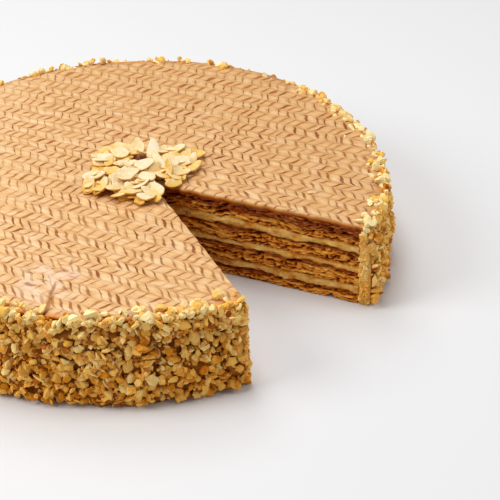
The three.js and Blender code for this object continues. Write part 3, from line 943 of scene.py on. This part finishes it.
# For each flake that shows: the pixel column and row in the photograph where its middle was read, its
# height, the turn and the rise of its long axis, how far its face is rolled to the front, and its length
FLAKES = (
    (103.5, 159, 51, 18, 3, 12, 15), (103.5, 166.5, 48.5, 5, 0, 0, 14),
    (106, 150.5, 50, 40, 5, 10, 12), (118, 153.5, 52, -35, 0, 10, 14),
    (123, 146.5, 50.5, -15, 0, 20, 12), (137.5, 148, 52.5, 80, 30, -5, 13.5),
    (152.5, 149, 52.5, 95, 28, 0, 14.5), (163.5, 151.5, 50.5, 60, 15, 20, 12),
    (178, 150.5, 50, -20, 0, 10, 15), (193.5, 154, 48.5, -14, 0, 5, 14),
    (183, 161, 51, 0, 0, 30, 11), (193.5, 166.5, 49.5, 50, 5, -5, 12),
    (168, 170, 52, 88, 45, -55, 13.5), (160, 170, 50.5, 80, 28, 0, 13),
    (178.5, 173.5, 50, -50, -15, 35, 12), (143, 164, 54, 37, 5, 5, 14),
    (155.5, 169.5, 51.5, 60, 20, 35, 11), (147, 176, 53, -30, 0, 10, 11),
    (127, 163.5, 51.5, 5, 0, 15, 12), (113, 170, 50.5, 0, 0, 15, 10),
    (127.5, 174.5, 53.5, 15, -3, 15, 15), (116.5, 183.5, 51.5, 100, 24, -15, 13.5),
    (101.5, 185.5, 50.5, 72, 18, -25, 14), (88.5, 185.5, 50, 85, 28, 0, 13),
    (94, 175.5, 51, 24, 0, 0, 13), (122.5, 191.5, 50, 39, 5, -25, 14),
    (139.5, 184.5, 51.5, 35, 5, -20, 13), (128, 194.5, 49, 10, 0, 38, 10),
    (137.5, 191, 50, -10, 0, 32, 11), (152, 196, 49.5, -45, -6, 28, 14),
    (154, 188.5, 50.5, -25, 0, 15, 12), (138.5, 201, 48.5, -50, 5, 20, 9),
    (174, 183, 49, 20, 0, 32, 10),
)
# The photograph's camera, fitted to the cake's edges, which tells where such a pixel lies on the cake
PICTURE = 500  # pixels, each way
FOCAL_PIXELS = 1400
CAMERA_DISTANCE = 769.02  # from the base's middle to the lens, along the view
CAMERA_RIGHT = 62.72  # how far the lens is to the right of that middle, across the view
CAMERA_UP = -5.88
CAMERA_RISE = math.radians(32.96)  # how steeply it looks down
CAMERA_ROLL = math.radians(1.07)
view_back = np.array([0.0, -math.cos(CAMERA_RISE), math.sin(CAMERA_RISE)])
view_right = np.array([1.0, 0.0, 0.0])
view_up = np.array([0.0, math.sin(CAMERA_RISE), math.cos(CAMERA_RISE)])
eye = view_back * CAMERA_DISTANCE + view_right * CAMERA_RIGHT + view_up * CAMERA_UP
picture_right = math.cos(CAMERA_ROLL) * view_right - math.sin(CAMERA_ROLL) * view_up
picture_up = math.sin(CAMERA_ROLL) * view_right + math.cos(CAMERA_ROLL) * view_up


def place_at(column, row, height):
    """The place at a height that the photograph shows at a pixel."""
    across = (column - PICTURE / 2) / FOCAL_PIXELS
    down = (row - PICTURE / 2) / FOCAL_PIXELS
    ray = across * picture_right - down * picture_up - view_back
    return (eye + (height - eye[2]) / ray[2] * ray)[:2]


shown_flakes = [(*place_at(column, row, z), z, *rest) for column, row, z, *rest in FLAKES]


def flake_points(rng, length):
    """The points of one flake: rings of an oval with a pointed end, on its upper and then its lower face.

    It is bent, and one to three of its edges are broken off straight."""
    turn = np.linspace(0, 2 * math.pi, FLAKE_STEPS, endpoint=False)
    half_length = length / 2
    half_width = half_length * FLAKE_WIDTH * rng.uniform(0.85, 1.15)
    point = rng.uniform(0.06, 0.24)
    across = half_width * np.sin(turn) * (1 - point * np.cos(turn))
    outline = np.column_stack([half_length * np.cos(turn), across])
    for _ in range(rng.integers(1, 4)):
        broken = heading(rng.uniform(0, 2 * math.pi))
        out = outline @ broken
        beyond = np.clip(out - rng.uniform(0.62, 0.95) * out.max(), 0, None)
        outline = outline - beyond[:, None] * broken
    chip = 1 - 0.05 * ease(ripple(turn * rng.uniform(1.5, 3), rng.integers(1000)), 0.2, 0.7)
    rings = np.concatenate([np.linspace(0.25, 0.86, FLAKE_RINGS - 2), [0.96, 1.0]])
    flat = rings[:, None, None] * outline * chip[:, None]
    bend = rng.uniform(-0.02, 0.03) * flat[..., 0] ** 2 + rng.uniform(-0.05, 0.03) * flat[..., 1] ** 2
    bend = bend + rng.uniform(-0.03, 0.03) * flat[..., 0] * flat[..., 1]
    taper = np.array([1.0] * (FLAKE_RINGS - 2) + [0.9, 0.45])[:, None]
    half = FLAKE_THICK / 2 * rng.uniform(0.8, 1.2) * taper
    upper = np.concatenate([flat, (bend + half)[..., None]], -1)
    lower = np.concatenate([flat, (bend - half)[..., None]], -1)[::-1]
    return np.concatenate([upper, lower]).reshape(-1, 3)


def flake_faces():
    """The faces of one flake: four-cornered ones between its rings, and one inside each end ring."""
    rings = 2 * FLAKE_RINGS
    ring, step = np.meshgrid(np.arange(rings - 1), np.arange(FLAKE_STEPS), indexing="ij")
    after = (step + 1) % FLAKE_STEPS
    sides = [ring * FLAKE_STEPS + step, (ring + 1) * FLAKE_STEPS + step,
             (ring + 1) * FLAKE_STEPS + after, ring * FLAKE_STEPS + after]
    ends = np.stack([np.arange(FLAKE_STEPS), ((rings - 1) * FLAKE_STEPS + np.arange(FLAKE_STEPS))[::-1]])
    return np.stack(sides, -1).reshape(-1, 4), ends


def flake_axes(turn, rise, roll):
    """A flake's own axes: along it, across it and out of its face, which is rolled towards the front."""
    turn, rise, roll = np.radians([turn, rise, roll])
    along = np.array([math.cos(rise) * math.cos(turn), math.cos(rise) * math.sin(turn), math.sin(rise)])
    upright = unit(np.array([0, 0, 1]) - along[2] * along)
    front = np.cross(along, upright)
    front = -front if front[1] > 0 else front
    face = math.cos(roll) * upright + math.sin(roll) * front
    return np.stack([along, np.cross(face, along), face])


def in_gap(place, margin):
    """Whether a place lies in the gap between the two cuts, or within a margin of it."""
    x, y = place - CUT_TIP
    past_right = math.cos(CUT_RIGHT) * y - math.sin(CUT_RIGHT) * x
    past_left = math.cos(CUT_LEFT) * y - math.sin(CUT_LEFT) * x
    return past_right < margin and past_left > -margin


def under_flakes(rng):
    """Flakes lying any way beneath the others, leaving the hollow and the gap free."""
    flakes = []
    for x, y, *_ in shown_flakes * UNDER_FLAKES:
        place = 0.8 * np.array([x, y]) + 0.2 * UNDER_MIDDLE + rng.uniform(-UNDER_SPREAD, UNDER_SPREAD, 2)
        z = cake_top + rng.uniform(*UNDER_LIFT)
        turn = rng.uniform(0, 360)
        flake = (*place, z, turn, *rng.uniform(-UNDER_TILT, UNDER_TILT, 2), rng.uniform(*UNDER_LENGTH))
        if not in_gap(place, GAP_MARGIN) and np.linalg.norm(place - HOLLOW) > HOLLOW_RADIUS:
            flakes.append(flake)
    return flakes


def flake_heap(rng):
    """Every flake in its place, lifted out of the icing, with marks for its edge and its own tone."""
    points = []
    marks = []
    outward = np.linspace(0, 1, FLAKE_RINGS)
    edge = np.repeat(np.concatenate([outward, outward[::-1]]), FLAKE_STEPS)
    for x, y, z, turn, rise, roll, length in (*under_flakes(rng), *shown_flakes):
        flake = flake_points(rng, length) @ flake_axes(turn, rise, roll) + [x, y, z]
        flake[:, 2] += max(0, cake_top - FLAKE_SINK - flake[:, 2].min())
        points.append(flake)
        marks.append(np.column_stack([edge, np.full(len(edge), rng.random()), np.zeros(len(edge))]))
    return np.stack(points), np.concatenate(marks)


def almond_finish():
    """Painted light and shade: ivory where a flake faces up and lies high; golden low, upright and at its
    edges.
    """
    material, paint, place = new_finish("flaked_almond")
    marks = paint.marks()
    edge = marks.along((1, 0, 0))
    # painted light and shade: a flake is painted paler the more its face turns up
    level = paint.node("ShaderNodeTexCoord", {}, {}, "Normal").along((0, 0, 1)).eased(0.1, 0.95)
    # painted shade: flakes are painted golden low in the heap and ivory high up
    height = place.along(UPWARD).eased(cake_top, cake_top + 6)
    # painted light and shade from the two above, with each flake's own tone and a cloudy one
    tone_and_painted_light = 0.35 * level + 0.45 * height + 0.2 * marks.along((0, 1, 0)) + 0.5 * (place.noise(2.4, 3.0) - 0.5)
    stops = [(0.35, tint(222, 154, 44)), (0.66, tint(235, 192, 96)), (0.95, tint(241, 223, 187))]
    colour = paint.node("ShaderNodeValToRGB", {"stops": stops}, {"Fac": tone_and_painted_light})
    # painted glow: the edges are golden as if light came through them
    colour = (0.4 * edge.eased(0.6, 1.0)).mix(colour, tint(234, 188, 90))
    bump = place.noise(1.5, 3.0).relief(0.25)
    coat_surface(paint, colour, Roughness=0.5, Normal=bump, Specular_IOR_Level=0.25)
    return material


heap_points, heap_marks = flake_heap(np.random.default_rng(HEAP_SEED))
flake_size = 2 * FLAKE_RINGS * FLAKE_STEPS
quads, ends = flake_faces()
offsets = np.arange(len(heap_points))[:, None, None] * flake_size
heap_faces = [(quads[None] + offsets).reshape(-1, 4), (ends[None] + offsets).reshape(-1, FLAKE_STEPS)]
heap = add_piece("almond_heap", heap_points.reshape(-1, 3), heap_faces, almond_finish(), heap_marks)
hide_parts("almond_flakes")

# Table, light and camera
# A plain white table under soft light: lamps on the left, above and behind, and a weak one on the right.
# The camera stands where the photograph was taken from, about three quarters of a metre away.
FLOOR = 3000.0  # half the table's width
LAMPS = (  # name, place in metres, watts
    ("left_lamp", (-1.0, -0.25, 0.85), 8.8),
    ("top_lamp", (-0.1, 0.1, 1.6), 10.2),
    ("back_lamp", (-0.3, 0.8, 1.3), 5.8),
    ("right_lamp", (1.15, -0.1, 0.75), 3.8),
)
LAMP_SIZE = 0.8
LAMP_TARGET = (0.0, 0.0, 0.03)
SKY_STRENGTH = 0.27  # of the white light from all round


def floor_finish():
    """Matt white, hardly uneven."""
    material, paint, place = new_finish("table")
    colour = place.noise(400.0, 1.0).mix(tint(225, 225, 226), tint(229, 229, 230))
    coat_surface(paint, colour, Roughness=0.6)
    return material


floor_mesh = bpy.data.meshes.new("table")
corners = [(x * FLOOR * MM, y * FLOOR * MM, 0) for x, y in ((-1, -1), (1, -1), (1, 1), (-1, 1))]
floor_mesh.from_pydata(corners, [], [(0, 1, 2, 3)])
floor_mesh.materials.append(floor_finish())
floor = bpy.data.objects.new("table", floor_mesh)
bpy.context.collection.objects.link(floor)


def add_lamp(name, place, watts):
    """A round lamp at a place, turned to the cake."""
    lamp = bpy.data.lights.new(name, "AREA")
    lamp.shape = "DISK"
    lamp.size = LAMP_SIZE
    lamp.energy = watts
    holder = bpy.data.objects.new(name, lamp)
    bpy.context.collection.objects.link(holder)
    back = unit(np.array(place) - np.array(LAMP_TARGET))
    side = unit(np.cross([0.0, 0.0, 1.0], back))
    turn = Matrix(np.column_stack([side, np.cross(back, side), back]).tolist()).to_4x4()
    holder.matrix_world = Matrix.Translation(place) @ turn


for name, place, watts in LAMPS:
    add_lamp(name, place, watts)

world = bpy.data.worlds.new("studio")
bpy.context.scene.world = world
world.use_nodes = True
backdrop = world.node_tree.nodes["Background"]
backdrop.inputs["Color"].default_value = (1.0, 1.0, 1.0, 1.0)
backdrop.inputs["Strength"].default_value = SKY_STRENGTH
bpy.context.scene.view_settings.view_transform = "Standard"

lens = bpy.data.cameras.new("camera")
lens.lens = lens.sensor_width * FOCAL_PIXELS / PICTURE
camera = bpy.data.objects.new("camera", lens)
bpy.context.collection.objects.link(camera)
camera_turn = np.column_stack([picture_right, picture_up, view_back])
camera.matrix_world = Matrix.Translation(eye * MM) @ Matrix(camera_turn.tolist()).to_4x4()
bpy.context.scene.camera = camera
